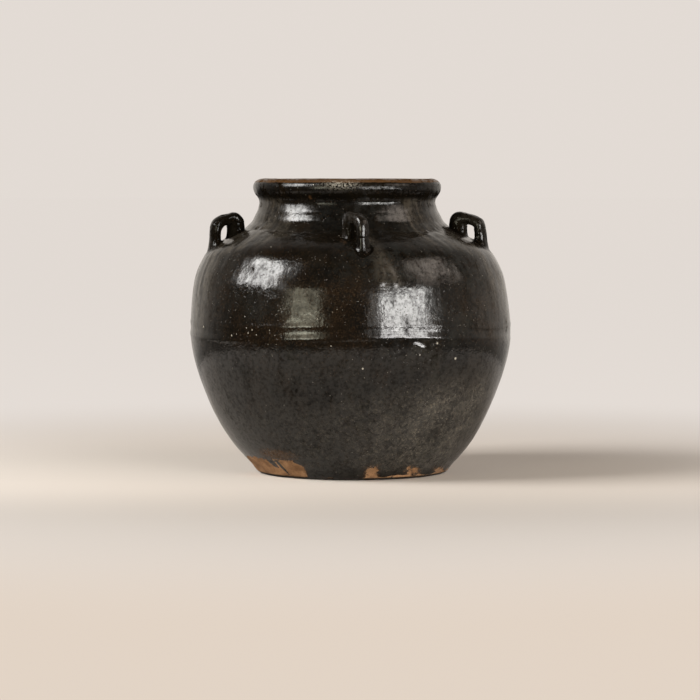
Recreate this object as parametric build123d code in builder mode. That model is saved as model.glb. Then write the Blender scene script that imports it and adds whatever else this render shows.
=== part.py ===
from build123d import *
from math import cos, hypot, pi, radians, sin
import os

os.makedirs("parts", exist_ok=True)

# Stoneware storage jar with a wide mouth and five strap lugs on its shoulder.
# Millimetres. +Z is up, the origin is the centre of the foot on the resting
# plane, and the front of the jar faces -Y.

# ---- driving dimensions ------------------------------------------------------
jar_height = 301.0  # resting plane to the lip's crest
foot_radius = 96.6  # outer edge of the flat resting ring
underside_radius = 76.0  # hollowed middle of the underside
underside_depth = 1.6
slab_rim = 6.0  # height of the slab's edge, where the wall stands on it
slab_step_radius = 88.0  # raised middle of the slab, which the wall is seated round
slab_top = 11.0  # inner floor

wall = 9.0  # thrown wall, measured square to its face
foot_wall = 10.5  # the wall just above the slab

seam_low = 135.0  # belly seam: outer half of the lap joint
seam_high = 143.0  # belly seam: inner half of the lap joint
seam_radius = 160.3  # the lap's upright face

shoulder_open_radius = 97.0  # opening in the shoulder that the neck is set in
shoulder_seat = 250.0  # the neck's seat on the shoulder
neck_inner_radius = 81.6
lip_seat = 279.5  # ledge on the neck that carries the lip's coil
lip_step_radius = 86.5  # upright face of that ledge
neck_top = 289.0  # top edge of the neck, inside the lip
lip_flat_inner = 82.5  # worn flat crest of the lip
lip_flat_outer = 87.0

lug_centre_radius = 128.0  # about which a lug is turned
lug_width = 17.0
lug_width_front = 10.4
lug_foot_inner = 115.2  # radius of the middle of a lug's foot near the neck
lug_foot_outer = 139.4  # and of its lower foot
seat_depth = 1.2  # how deep the flat seats of the feet are pared into the shoulder
seat_inner = (30.0, 19.5)  # the pared seats, round the shoulder and down it
seat_outer = (46.0, 26.0)
foot_inner_cut = (60.0, 26.0)  # where a lug's strap is cut flat for its seat
foot_outer_cut = (60.0, 32.0)
lug_squareness = 2.2  # power of the strap's rounded section, where 2 is an ellipse

# angle from the front (-Y), positive towards +X, and turn about the lug's own upright
lug_front_at, lug_front_turn = 3.8, 27.0
lug_right_at, lug_right_turn = 82.0, -10.0
lug_back_right_at, lug_back_right_turn = 148.0, 13.0
lug_back_left_at, lug_back_left_turn = -146.0, -15.0
lug_left_at, lug_left_turn = -80.0, 10.0

# ---- profiles, as (radius, height) -------------------------------------------
lower_outer = [
    (102.0, 6.0),
    (105.3, 10.0),
    (112.7, 18.0),
    (122.8, 30.3),
    (133.4, 46.8),
    (141.8, 63.2),
    (148.9, 79.7),
    (155.0, 96.1),
    (160.0, 112.6),
    (163.8, 127.0),
    (164.9, 135.0),
]
upper_outer = [  # joined by tangent arcs, and last by a straight slope
    (164.9, 135.0),
    (158.9, 198.8),
    (149.0, 222.4),
    (130.6, 238.2),
    (105.5, 250.0),
]
neck_outer = [
    (105.5, 250.0),
    (102.2, 253.3),
    (98.4, 257.8),
    (95.0, 263.6),
    (92.5, 268.9),
    (91.0, 273.5),
    (90.5, 277.0),
    (90.9, 279.5),
]
neck_inner = [
    (81.6, 289.0),
    (81.5, 283.0),
    (81.7, 276.0),
    (83.4, 268.5),
    (86.6, 260.5),
    (90.2, 253.0),
    (93.4, 247.8),
    (97.0, 243.6),
]
lip_outer = [
    (90.9, 279.5),
    (92.0, 281.6),
    (94.6, 285.8),
    (96.4, 291.5),
    (95.5, 296.2),
    (92.7, 299.2),
    (89.8, 300.6),
    (87.0, 301.0),
]
lip_inner = [
    (82.5, 301.0),
    (80.5, 299.8),
    (79.5, 297.0),
    (79.8, 293.6),
    (81.0, 290.8),
    (81.6, 289.0),
]

# A lug's strap, station by station, from inside the shoulder near the neck, up,
# over the eye and down into the shoulder again: radius and height of its middle,
# the way it runs (radius, height), its thickness and its width at the feet as a
# share of the width over the eye.
lug_strap = [
    (115.2, 237.0, 0.0, 1.0, 15.4, 1.16),
    (115.2, 246.0, 0.0, 1.0, 15.2, 1.08),
    (115.3, 252.5, 0.05, 1.0, 15.2, 1.03),
    (116.0, 257.3, 0.5, 0.87, 16.2, 1.0),
    (118.6, 260.0, 0.82, 0.57, 15.4, 1.0),
    (123.2, 260.0, 1.0, 0.08, 12.2, 1.0),
    (129.4, 258.6, 1.0, -0.3, 11.0, 1.0),
    (134.9, 254.9, 0.71, -0.71, 11.6, 1.0),
    (137.2, 248.8, 0.12, -1.0, 11.4, 1.0),
    (137.8, 241.5, 0.08, -1.0, 11.4, 1.01),
    (138.8, 233.5, 0.16, -1.0, 12.0, 1.08),
    (140.4, 225.5, 0.2, -1.0, 12.6, 1.15),
    (141.4, 218.5, 0.08, -1.0, 12.8, 1.18),
]


def inside(points, thickness):
    """The points of a profile moved square to it towards the axis."""
    moved = []
    for i, (r, z) in enumerate(points):
        before, after = points[max(i - 1, 0)], points[min(i + 1, len(points) - 1)]
        dr, dz = after[0] - before[0], after[1] - before[1]
        length = hypot(dr, dz)
        moved.append((r - thickness * dz / length, z + thickness * dr / length))
    return moved


def square_in(edge, at, depth):
    """A point on a rising edge of the profile, moved square to it towards the axis."""
    point, along = edge @ at, edge % at
    return (point.X - along.Y * depth, point.Y + along.X * depth)


def strap_plane(at, turn, station):
    """The plane square to a lug's strap at one station."""
    out = Vector(sin(radians(at)), -cos(radians(at)), 0)
    along = Vector(sin(radians(at + turn)), -cos(radians(at + turn)), 0)
    up = Vector(0, 0, 1)
    radius, height, run_r, run_z = station[:4]
    middle = (
        out * lug_centre_radius + along * (radius - lug_centre_radius) + up * height
    )
    run = along * run_r + up * run_z
    return Plane(origin=middle, x_dir=run.cross(along.cross(up)), z_dir=run)


def strap_section(thick, wide):
    """Points round a strap's section, a rounded oblong."""
    points = []
    for i in range(16):
        c, s = cos(pi * i / 8), sin(pi * i / 8)
        x = thick / 2 * abs(c) ** (2 / lug_squareness)
        y = wide / 2 * abs(s) ** (2 / lug_squareness)
        points.append((x if c >= 0 else -x, y if s >= 0 else -y))
    return points


belly_rise = (0.3, 8.4)  # direction of the outer face at the belly seam
lip_rise = (0.7, 1.6)  # direction of the outer face at the lip's lower edge

# inner face of the lower wall, from the floor to the belly seam
lower_inner = (
    [(slab_step_radius, slab_top), (96.3, 17.0)]
    + inside(lower_outer, foot_wall)[2:3]
    + inside(lower_outer, wall)[3:9]
    + [(164.9 - wall, seam_high)]
)

# ---- base slab: the clay disc that the wall is built on ----------------------
with BuildPart() as base_slab:
    with BuildSketch(Plane.XZ):
        with BuildLine():
            Polyline(
                (slab_step_radius, slab_rim),
                (slab_step_radius, slab_top),
                (0, slab_top),
                (0, underside_depth),
                (underside_radius, underside_depth),
                (underside_radius + 8.0, 0),
                (foot_radius, 0),
            )
            Spline(
                (foot_radius, 0),
                (98.9, 1.5),
                lower_outer[0],
                tangents=[(1, 0.1), (3.3, 4.0)],
            )
            Line(lower_outer[0], (slab_step_radius, slab_rim))
        make_face()
    revolve(axis=Axis.Z)

# ---- lower body: stands on the slab's rim, round its raised middle -----------
with BuildPart() as lower_body:
    with BuildSketch(Plane.XZ):
        with BuildLine():
            Line((slab_step_radius, slab_rim), lower_outer[0])
            Spline(*lower_outer, tangents=[(3.3, 4.0), belly_rise])
            Polyline(
                lower_outer[-1],
                (seam_radius, seam_low),
                (seam_radius, seam_high),
                lower_inner[-1],
            )
            Spline(
                *reversed(lower_inner), tangents=[(-0.2, -8.0), (-1.0, -0.35)]
            )
            Line(lower_inner[0], (slab_step_radius, slab_rim))
        make_face()
    revolve(axis=Axis.Z)

# ---- the upper wall's outer face ----------------------------------------------
with BuildLine() as shoulder:
    rise = TangentArc(upper_outer[0], upper_outer[1], tangent=belly_rise)
    turn_in = TangentArc(upper_outer[1], upper_outer[2], tangent=rise % 1)
    crown = TangentArc(upper_outer[2], upper_outer[3], tangent=turn_in % 1)
    slope = Line(upper_outer[3], upper_outer[4])

# inner face of the upper wall, from the belly seam to the shoulder's opening
upper_inner = [
    (164.9 - wall, seam_high),
    square_in(rise, 0.5, wall),
    square_in(rise, 0.75, wall),
    square_in(rise, 1, wall),
    square_in(turn_in, 0.5, wall),
    square_in(turn_in, 1, wall),
    square_in(crown, 0.5, wall),
    square_in(crown, 1, wall),
    square_in(slope, 0.45, wall),
    (shoulder_open_radius, 243.6),
]


def seat_plane(at, turn, foot):
    """The flat scored seat of one foot of a lug, just under the shoulder's face."""
    out = Vector(sin(radians(at)), -cos(radians(at)), 0)
    along = Vector(sin(radians(at + turn)), -cos(radians(at + turn)), 0)
    middle = out * lug_centre_radius + along * (foot - lug_centre_radius)
    radial = middle.normalized()
    if middle.length < upper_outer[3][0]:  # on the straight slope
        run = slope % 0
        face = (slope @ 0) + run * ((middle.length - (slope @ 0).X) / run.X)
        square = Vector(run.Y, -run.X)
    else:  # on the crown's arc
        centre = crown.arc_center
        rise_here = (crown.radius**2 - (middle.length - centre.X) ** 2) ** 0.5
        face = Vector(middle.length, centre.Y + rise_here)
        square = (face - Vector(centre.X, centre.Y)).normalized()
    square_out = radial * square.X + Vector(0, 0, 1) * square.Y
    return Plane(
        origin=radial * face.X + Vector(0, 0, 1) * face.Y - square_out * seat_depth,
        x_dir=radial.cross(Vector(0, 0, 1)),
        z_dir=square_out,
    )


# ---- lugs: each a strap of clay bent into an arch, both feet on the shoulder --
with BuildPart() as lug_front:
    for station in lug_strap:
        with BuildSketch(strap_plane(lug_front_at, lug_front_turn, station)):
            with BuildLine():
                Spline(
                    *strap_section(station[4], lug_width_front * station[5]), periodic=True
                )
            make_face()
    loft()
    with BuildSketch(seat_plane(lug_front_at, lug_front_turn, lug_foot_inner)):
        Rectangle(*foot_inner_cut)
    extrude(amount=-20, mode=Mode.SUBTRACT)
    with BuildSketch(seat_plane(lug_front_at, lug_front_turn, lug_foot_outer)):
        Rectangle(*foot_outer_cut)
    extrude(amount=-20, mode=Mode.SUBTRACT)

with BuildPart() as lug_right:
    for station in lug_strap:
        with BuildSketch(strap_plane(lug_right_at, lug_right_turn, station)):
            with BuildLine():
                Spline(
                    *strap_section(station[4], lug_width * station[5]), periodic=True
                )
            make_face()
    loft()
    with BuildSketch(seat_plane(lug_right_at, lug_right_turn, lug_foot_inner)):
        Rectangle(*foot_inner_cut)
    extrude(amount=-20, mode=Mode.SUBTRACT)
    with BuildSketch(seat_plane(lug_right_at, lug_right_turn, lug_foot_outer)):
        Rectangle(*foot_outer_cut)
    extrude(amount=-20, mode=Mode.SUBTRACT)

with BuildPart() as lug_back_right:
    for station in lug_strap:
        with BuildSketch(strap_plane(lug_back_right_at, lug_back_right_turn, station)):
            with BuildLine():
                Spline(
                    *strap_section(station[4], lug_width * station[5]), periodic=True
                )
            make_face()
    loft()
    with BuildSketch(seat_plane(lug_back_right_at, lug_back_right_turn, lug_foot_inner)):
        Rectangle(*foot_inner_cut)
    extrude(amount=-20, mode=Mode.SUBTRACT)
    with BuildSketch(seat_plane(lug_back_right_at, lug_back_right_turn, lug_foot_outer)):
        Rectangle(*foot_outer_cut)
    extrude(amount=-20, mode=Mode.SUBTRACT)

with BuildPart() as lug_back_left:
    for station in lug_strap:
        with BuildSketch(strap_plane(lug_back_left_at, lug_back_left_turn, station)):
            with BuildLine():
                Spline(
                    *strap_section(station[4], lug_width * station[5]), periodic=True
                )
            make_face()
    loft()
    with BuildSketch(seat_plane(lug_back_left_at, lug_back_left_turn, lug_foot_inner)):
        Rectangle(*foot_inner_cut)
    extrude(amount=-20, mode=Mode.SUBTRACT)
    with BuildSketch(seat_plane(lug_back_left_at, lug_back_left_turn, lug_foot_outer)):
        Rectangle(*foot_outer_cut)
    extrude(amount=-20, mode=Mode.SUBTRACT)

with BuildPart() as lug_left:
    for station in lug_strap:
        with BuildSketch(strap_plane(lug_left_at, lug_left_turn, station)):
            with BuildLine():
                Spline(
                    *strap_section(station[4], lug_width * station[5]), periodic=True
                )
            make_face()
    loft()
    with BuildSketch(seat_plane(lug_left_at, lug_left_turn, lug_foot_inner)):
        Rectangle(*foot_inner_cut)
    extrude(amount=-20, mode=Mode.SUBTRACT)
    with BuildSketch(seat_plane(lug_left_at, lug_left_turn, lug_foot_outer)):
        Rectangle(*foot_outer_cut)
    extrude(amount=-20, mode=Mode.SUBTRACT)

# ---- upper body: lapped on the lower body, open at the shoulder for the neck ---
with BuildPart() as upper_body:
    with BuildSketch(Plane.XZ):
        with BuildLine():
            Line((seam_radius, seam_low), upper_outer[0])
            add(shoulder.line)
            Polyline(
                upper_outer[-1],
                (shoulder_open_radius, shoulder_seat),
                upper_inner[-1],
            )
            Spline(*reversed(upper_inner), tangents=[(8.0, -3.5), (0.2, -8.0)])
            Polyline(
                upper_inner[0], (seam_radius, seam_high), (seam_radius, seam_low)
            )
        make_face()
    revolve(axis=Axis.Z)
    for at, turn in (
        (lug_front_at, lug_front_turn),
        (lug_right_at, lug_right_turn),
        (lug_back_right_at, lug_back_right_turn),
        (lug_back_left_at, lug_back_left_turn),
        (lug_left_at, lug_left_turn),
    ):
        with BuildSketch(seat_plane(at, turn, lug_foot_inner)):
            Rectangle(*seat_inner)
        extrude(amount=4, mode=Mode.SUBTRACT)
        with BuildSketch(seat_plane(at, turn, lug_foot_outer)):
            Rectangle(*seat_outer)
        extrude(amount=4, mode=Mode.SUBTRACT)

# ---- neck: a collar seated in the shoulder's opening, luted inside ------------
with BuildPart() as neck:
    with BuildSketch(Plane.XZ):
        with BuildLine():
            Line((shoulder_open_radius, shoulder_seat), neck_outer[0])
            Spline(*neck_outer, tangents=[(-4.0, 3.0), lip_rise])
            Polyline(
                neck_outer[-1],
                (lip_step_radius, lip_seat),
                (lip_step_radius, neck_top),
                neck_inner[0],
            )
            Spline(*neck_inner, tangents=[(0, -1), (3.0, -3.0)])
            Line(neck_inner[-1], (shoulder_open_radius, shoulder_seat))
        make_face()
    revolve(axis=Axis.Z)

# ---- lip: a thick coil folded over the neck's top edge ------------------------
with BuildPart() as lip:
    with BuildSketch(Plane.XZ):
        with BuildLine():
            Line((lip_step_radius, lip_seat), lip_outer[0])
            Spline(*lip_outer, tangents=[lip_rise, (-1, 0)])
            Line((lip_flat_outer, jar_height), (lip_flat_inner, jar_height))
            Spline(*lip_inner, tangents=[(-1, -0.1), (0, -1)])
            Polyline(
                lip_inner[-1], (lip_step_radius, neck_top), (lip_step_radius, lip_seat)
            )
        make_face()
    revolve(axis=Axis.Z)

# ---- write one file for each piece --------------------------------------------
base_slab.part.label = "base_slab"
export_step(base_slab.part, "parts/base_slab.step")
lower_body.part.label = "lower_body"
export_step(lower_body.part, "parts/lower_body.step")
upper_body.part.label = "upper_body"
export_step(upper_body.part, "parts/upper_body.step")
neck.part.label = "neck"
export_step(neck.part, "parts/neck.step")
lip.part.label = "lip"
export_step(lip.part, "parts/lip.step")
lug_front.part.label = "lug_front"
export_step(lug_front.part, "parts/lug_front.step")
lug_right.part.label = "lug_right"
export_step(lug_right.part, "parts/lug_right.step")
lug_back_right.part.label = "lug_back_right"
export_step(lug_back_right.part, "parts/lug_back_right.step")
lug_back_left.part.label = "lug_back_left"
export_step(lug_back_left.part, "parts/lug_back_left.step")
lug_left.part.label = "lug_left"
export_step(lug_left.part, "parts/lug_left.step")

for piece in (base_slab, lower_body, upper_body, neck, lip):
    print(piece.part.label, round(piece.part.volume / 1000, 1), "cm3")
for piece in (lug_front, lug_right, lug_back_right, lug_back_left, lug_left):
    print(piece.part.label, round(piece.part.volume / 1000, 2), "cm3")
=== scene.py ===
import math
import bpy
import numpy as np
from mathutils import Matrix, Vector


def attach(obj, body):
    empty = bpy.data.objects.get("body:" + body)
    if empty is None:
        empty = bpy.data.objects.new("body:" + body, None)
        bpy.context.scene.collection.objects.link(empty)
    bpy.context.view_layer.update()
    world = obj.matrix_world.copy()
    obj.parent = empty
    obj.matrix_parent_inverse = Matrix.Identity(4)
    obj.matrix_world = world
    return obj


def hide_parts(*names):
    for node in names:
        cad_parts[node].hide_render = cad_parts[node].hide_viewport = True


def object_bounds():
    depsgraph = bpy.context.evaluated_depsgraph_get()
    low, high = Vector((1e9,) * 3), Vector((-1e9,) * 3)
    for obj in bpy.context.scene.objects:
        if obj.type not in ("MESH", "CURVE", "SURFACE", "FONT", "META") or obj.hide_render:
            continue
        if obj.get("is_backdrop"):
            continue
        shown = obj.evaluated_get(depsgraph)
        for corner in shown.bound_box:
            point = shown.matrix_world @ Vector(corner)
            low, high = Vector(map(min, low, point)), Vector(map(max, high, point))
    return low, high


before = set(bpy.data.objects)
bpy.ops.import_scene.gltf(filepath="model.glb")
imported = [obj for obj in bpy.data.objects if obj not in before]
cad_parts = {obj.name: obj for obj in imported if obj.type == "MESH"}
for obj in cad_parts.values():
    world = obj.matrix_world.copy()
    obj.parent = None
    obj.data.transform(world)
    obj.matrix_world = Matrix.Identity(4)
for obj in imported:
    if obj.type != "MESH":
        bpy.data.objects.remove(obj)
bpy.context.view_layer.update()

# Everything below is worked out in millimetres and written to the meshes in metres.
# phi is the angle round the jar from the front (-Y), positive towards +X.
MM = 0.001
COLS = 600
STEP = 1.6

# ------------------------------------------------------------------ noise

def lattice(ix, iy, iz, seed):
    h = (ix.astype(np.uint32) * np.uint32(0x8DA6B343)
         + iy.astype(np.uint32) * np.uint32(0xD8163841)
         + iz.astype(np.uint32) * np.uint32(0xCB1AB31F)
         + np.uint32((seed * 2654435761) & 0xFFFFFFFF))
    h ^= h >> np.uint32(15)
    h *= np.uint32(0x2C1B3C6D)
    h ^= h >> np.uint32(12)
    h *= np.uint32(0x297A2D39)
    h ^= h >> np.uint32(15)
    return h


def noise(p, size, seed):
    """Smooth gradient noise of points in mm, about -1 to 1, with lumps `size` mm across."""
    q = np.asarray(p, float) / size
    base = np.floor(q).astype(np.int64)
    f = q - base
    u = f * f * f * (f * (f * 6 - 15) + 10)
    total = np.zeros(q.shape[:-1])
    for c in range(8):
        d = np.array([c & 1, (c >> 1) & 1, c >> 2])
        h = lattice(base[..., 0] + d[0], base[..., 1] + d[1], base[..., 2] + d[2], seed)
        g = [((h >> np.uint32(s)) & np.uint32(1023)).astype(float) / 511.5 - 1 for s in (0, 10, 20)]
        w = np.ones(q.shape[:-1])
        dot = np.zeros(q.shape[:-1])
        for a in range(3):
            w *= u[..., a] if d[a] else 1 - u[..., a]
            dot += g[a] * (f[..., a] - d[a])
        total += w * dot
    return total * 1.7


def smooth01(x):
    x = np.clip(x, 0, 1)
    return x * x * (3 - 2 * x)


# ------------------------------------------------------------------ outline

# Outside of the jar from the foot's edge to the crest of the lip: radius, height.
outside = [
    (96.6, 0.4), (98.4, 1.5), (101.8, 5.7), (105.1, 9.8), (109.1, 13.9), (112.7, 18), (116.4, 22.1),
    (122.8, 30.3), (128.4, 38.6), (133.4, 46.8), (137.7, 55), (141.8, 63.2), (145.5, 71.5),
    (148.9, 79.7), (151.9, 87.9), (155.1, 96.1), (157.6, 104.4), (160.1, 112.6), (162.1, 120.8),
    (163.6, 129.1), (164.7, 137.3), (165, 141.4), (164.9, 149.6), (164.2, 157.8), (163.6, 166.1),
    (162.7, 174.3), (161.7, 182.5), (160.5, 190.8), (158.9, 199), (156.5, 207.2), (152.6, 215.4),
    (147.3, 224.6), (139.6, 232.4), (130.0, 238.4), (119.0, 243.8), (111.5, 247.2), (106.5, 249.9),
    (102.4, 253.5), (98.3, 257.6), (95.1, 263.8), (92.4, 268.9), (91.1, 273), (90.3, 277.1),
    (90.8, 279.8), (92.0, 282), (94.5, 285.4), (96.2, 289.2), (96.5, 292.2), (95.9, 295.4),
    (94.2, 298.0), (91.5, 299.8), (88.5, 300.8), (85.0, 301.0),
]
inside_top = [
    (82.2, 300.7), (80.3, 299.3), (79.5, 297.0), (79.8, 293.6), (81.0, 290.8), (81.6, 289.0),
    (81.5, 283.0), (81.7, 276.0), (83.4, 268.5), (86.6, 260.5), (90.2, 253.0), (93.4, 247.8),
    (97.0, 243.6), (105.0, 240.2), (114.0, 236.0), (126.7, 230.0), (135.0, 225.0), (141.5, 217.4),
    (146.7, 208.0), (150.1, 197.0), (153.5, 181.0), (155.2, 165.0), (155.9, 143.0),
]
inside_low = [
    (155.9, 143.0), (155.4, 134.0), (154.2, 124.0), (151.6, 113.6), (148.2, 102.0), (143.6, 88.0),
    (137.6, 72.0), (130.8, 57.2), (123.0, 44.4), (113.6, 33.4), (104.6, 24.6), (96.3, 17.0),
    (91.0, 12.6), (88.0, 11.0),
]
underside = [(2.5, 1.6), (30, 1.6), (60, 1.6), (74.5, 1.55), (76.5, 1.0), (78.0, 0.35), (80.0, 0.0),
             (86.0, 0.0), (93.5, 0.0), (95.6, 0.08), (96.6, 0.4)]
floor_in = [(88.0, 11.0), (80.0, 10.7), (60.0, 10.6), (40.0, 10.5), (20.0, 10.7), (8.0, 11.2), (2.5, 11.4)]


def through(points, step=0.4):
    """A smooth curve through points, as close points evenly spaced."""
    p = np.array(points, float)
    t = np.r_[0, np.cumsum(np.hypot(*np.diff(p, axis=0).T))]
    m = np.gradient(p, t, axis=0)
    out = []
    for i in range(len(p) - 1):
        h = t[i + 1] - t[i]
        u = np.linspace(0, 1, 12, endpoint=False)[:, None]
        out.append((2 * u**3 - 3 * u**2 + 1) * p[i] + (u**3 - 2 * u**2 + u) * h * m[i]
                   + (-2 * u**3 + 3 * u**2) * p[i + 1] + (u**3 - u**2) * h * m[i + 1])
    out = np.vstack(out + [p[-1:]])
    s = np.r_[0, np.cumsum(np.hypot(*np.diff(out, axis=0).T))]
    even = np.linspace(0, s[-1], max(int(s[-1] / step), 2) + 1)
    return np.c_[np.interp(even, s, out[:, 0]), np.interp(even, s, out[:, 1])]


def soften(curve, width, step=0.4):
    """The curve with its small wobbles evened out over `width` mm, ends kept."""
    n = int(4 * width / step)
    k = np.exp(-0.5 * (np.arange(-n, n + 1) * step / width) ** 2)
    k /= k.sum()
    pad = np.vstack([2 * curve[0] - curve[n:0:-1], curve, 2 * curve[-1] - curve[-2:-n - 2:-1]])
    return np.c_[np.convolve(pad[:, 0], k, "valid"), np.convolve(pad[:, 1], k, "valid")]


side = through(outside)
fine, broad = soften(side, 1.2), soften(side, 5.0)
w = smooth01((side[:, 1] - 24) / 20) * smooth01((228 - side[:, 1]) / 14)
side = fine + (broad - fine) * w[:, None]
skin = [through(underside), side, through([side[-1].tolist()] + inside_top), through(inside_low), through(floor_in)]
marks = [0]
curve = [skin[0]]
for part in skin[1:]:
    marks.append(marks[-1] + len(curve[-1]) - (1 if len(marks) > 1 else 0))
    curve.append(part[1:])
curve = np.vstack(curve)
arc = np.r_[0, np.cumsum(np.hypot(*np.diff(curve, axis=0).T))]
crest = int(np.argmax(curve[:, 1] > 300.95))


def arc_at(radius, height, after=0.0, before=1e9):
    """Distance along the skin's curve of its point nearest to a radius and height."""
    ok = (arc >= after) & (arc <= before)
    d = np.where(ok, np.hypot(curve[:, 0] - radius, curve[:, 1] - height), 1e9)
    return float(arc[int(np.argmin(d))])


A_crest = arc_at(85.0, 301.0)
A = {
    "start": 0.0,
    "hollow": arc_at(74.5, 1.55, before=90),
    "rest": arc_at(80, 0, before=100),
    "edge": arc_at(95.2, 0.05, before=110),
    "slab_out": arc_at(102.05, 6.0, before=A_crest),
    "seam_out": float(np.interp(135.0, side[:, 1], np.linspace(0, 1, len(side)))),
    "crest": A_crest,
    "neck_in": arc_at(81.6, 289.0, after=A_crest),
    "shoulder_in": arc_at(97.0, 243.6, after=A_crest),
    "seam_in": arc_at(155.9, 143.0, after=A_crest),
    "slab_in": arc_at(88.0, 11.0, after=A_crest),
    "end": float(arc[-1]),
}
lo, hi = arc_at(96.6, 0.4, before=140), A_crest
zs = np.interp(np.linspace(lo, hi, 4000), arc, curve[:, 1])
for name, height in (("seam_out", 135.0), ("shoulder_out", 250.0), ("lip_out", 279.5)):
    A[name] = float(np.interp(height, zs, np.linspace(lo, hi, 4000)))

# (from, to, spacing of the rows in mm)
spans = [
    ("start", "hollow", 8.0), ("hollow", "rest", 1.2), ("rest", "edge", 4.0), ("edge", "slab_out", 0.7),
    ("slab_out", "seam_out", STEP), ("seam_out", "shoulder_out", STEP), ("shoulder_out", "lip_out", 0.9),
    ("lip_out", "crest", 0.7), ("crest", "neck_in", 0.9), ("neck_in", "shoulder_in", 1.8),
    ("shoulder_in", "seam_in", STEP * 1.5), ("seam_in", "slab_in", STEP * 1.6), ("slab_in", "end", 3.0),
]
rows, row_of = [0.0], {"start": 0}
for a, b, gap in spans:
    n = max(int(round((A[b] - A[a]) / gap)), 1)
    rows += np.linspace(A[a], A[b], n + 1)[1:].tolist()
    row_of[b] = len(rows) - 1
rows = np.array(rows)
R0 = np.interp(rows, arc, curve[:, 0])
Z0 = np.interp(rows, arc, curve[:, 1])
tr = np.gradient(soften(curve, 0.8), arc, axis=0)
tR, tZ = np.interp(rows, arc, tr[:, 0]), np.interp(rows, arc, tr[:, 1])
length = np.hypot(tR, tZ)
NR, NZ = tZ / length, -tR / length
on_side = (rows > A["edge"] + 0.01) & (rows <= A["crest"])
within_jar = rows > A["crest"]

phi = np.linspace(-math.pi, math.pi, COLS, endpoint=False)
PHI, RR = np.meshgrid(phi, R0)
ZZ = np.repeat(Z0[:, None], COLS, 1)
DEG = np.degrees(PHI)


def lean(z):
    """The axis's shift in x with height: the jar was thrown a little out of true."""
    return np.interp(z, [0, 12, 26, 50, 90, 145, 176, 236, 243, 301],
                     [0.5, 0.4, -0.4, -0.9, -1.3, -1.4, -2.0, -3.3, -4.1, -5.2])


lean_z = np.linspace(-10, 310, 641)
lean_x = lean(lean_z)
k = np.exp(-0.5 * (np.arange(-60, 61) / 24) ** 2)
lean_x = np.convolve(np.pad(lean_x, 60, mode="edge"), k / k.sum(), "valid")


def shift(z):
    return np.interp(z, lean_z, lean_x)


BASE = np.stack([RR * np.sin(PHI), -RR * np.cos(PHI), ZZ], -1)

# ------------------------------------------------------------------ relief of the wall

def bump_line(points, width, height, fade=6.0, both=False):
    """A raised line through points of (angle, height), as a height field on the outside."""
    out = np.zeros_like(ZZ)
    pts = [(math.radians(a) * 160, z) for a, z in points]
    x = PHI * 160
    best = np.full(ZZ.shape, 1e9)
    for (x0, z0), (x1, z1) in zip(pts, pts[1:]):
        ex, ez = x1 - x0, z1 - z0
        t = np.clip(((x - x0) * ex + (ZZ - z0) * ez) / (ex * ex + ez * ez), 0, 1)
        best = np.minimum(best, np.hypot(x - x0 - t * ex, ZZ - z0 - t * ez))
    return height * np.exp(-0.5 * (best / width) ** 2)


def ring(centre, width, height, vary=0.35, seed=0):
    """A raised ring whose height wanders round the jar: centre is a list of (angle, height)."""
    a = np.array(centre, float)
    zc = np.interp(DEG, a[:, 0], a[:, 1])
    wander = 1 + vary * noise(np.stack([np.cos(PHI) * 60, np.sin(PHI) * 60, 0 * PHI], -1), 40, seed)
    return height * wander * np.exp(-0.5 * ((ZZ - zc) / width) ** 2)


lumps = 0.6 * noise(BASE, 85, 11) + 0.20 * noise(BASE, 38, 12)
glaze = 0.095 * noise(BASE, 17, 13) + 0.055 * noise(BASE, 8.5, 14)
calm = 1 - 0.75 * np.exp(-0.5 * ((ZZ - 112) / 22) ** 2)
turn = ZZ + 7 * PHI / (2 * math.pi)
rings = (np.sin(2 * math.pi * turn / 11.3 + 1.5 * noise(BASE, 120, 15))
         * (0.5 + 0.5 * noise(BASE * [1, 1, 0.6], 70, 16))) * 0.035
rings += np.sin(2 * math.pi * turn / 5.1 + noise(BASE, 90, 17)) * np.clip(noise(BASE, 60, 18), 0, 1) * 0.015

outer = on_side[:, None] * 1.0
body = outer * smooth01((ZZ - 2) / 10)
relief = body * (lumps * smooth01((296 - ZZ) / 25) + glaze + rings) * calm
# the belly's seam and the ring above it
relief += outer * ring([(-180, 147), (-49, 141.5), (-17, 144.5), (0, 146.2), (17, 146.8), (41, 144.4), (69, 142.5), (110, 145), (180, 147)], 1.9, 0.34, 0.7, 21)
relief += outer * ring([(-180, 155), (-42, 154.9), (-17, 157.4), (0, 158.1), (17, 158.5), (41, 157), (58, 152.5), (120, 153), (180, 155)], 1.5, 0.35, 0.6, 22)
relief -= outer * ring([(-180, 151), (-42, 148.2), (0, 152.2), (41, 150.8), (58, 147.5), (120, 149), (180, 151)], 2.2, 0.25, 0.6, 23)
# the glaze ran down the shoulder and the flanks in soft ribs
DOWN = np.stack([160 * np.sin(PHI), -160 * np.cos(PHI), ZZ * 0.09 - 0.06 * RR], -1)
ribs = 0.12 * noise(DOWN, 10, 24) + 0.06 * noise(DOWN, 5.5, 25)
relief += outer * ribs * smooth01((ZZ - 150) / 40) * smooth01((262 - ZZ) / 14) * (0.25 + 0.75 * smooth01((np.abs(DEG + 4) - 26) / 16))
# a knock on the seam at the right
relief -= outer * 1.3 * np.exp(-0.5 * (((DEG - 80) / 7) ** 2 + ((ZZ - 143) / 2.6) ** 2))
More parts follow.
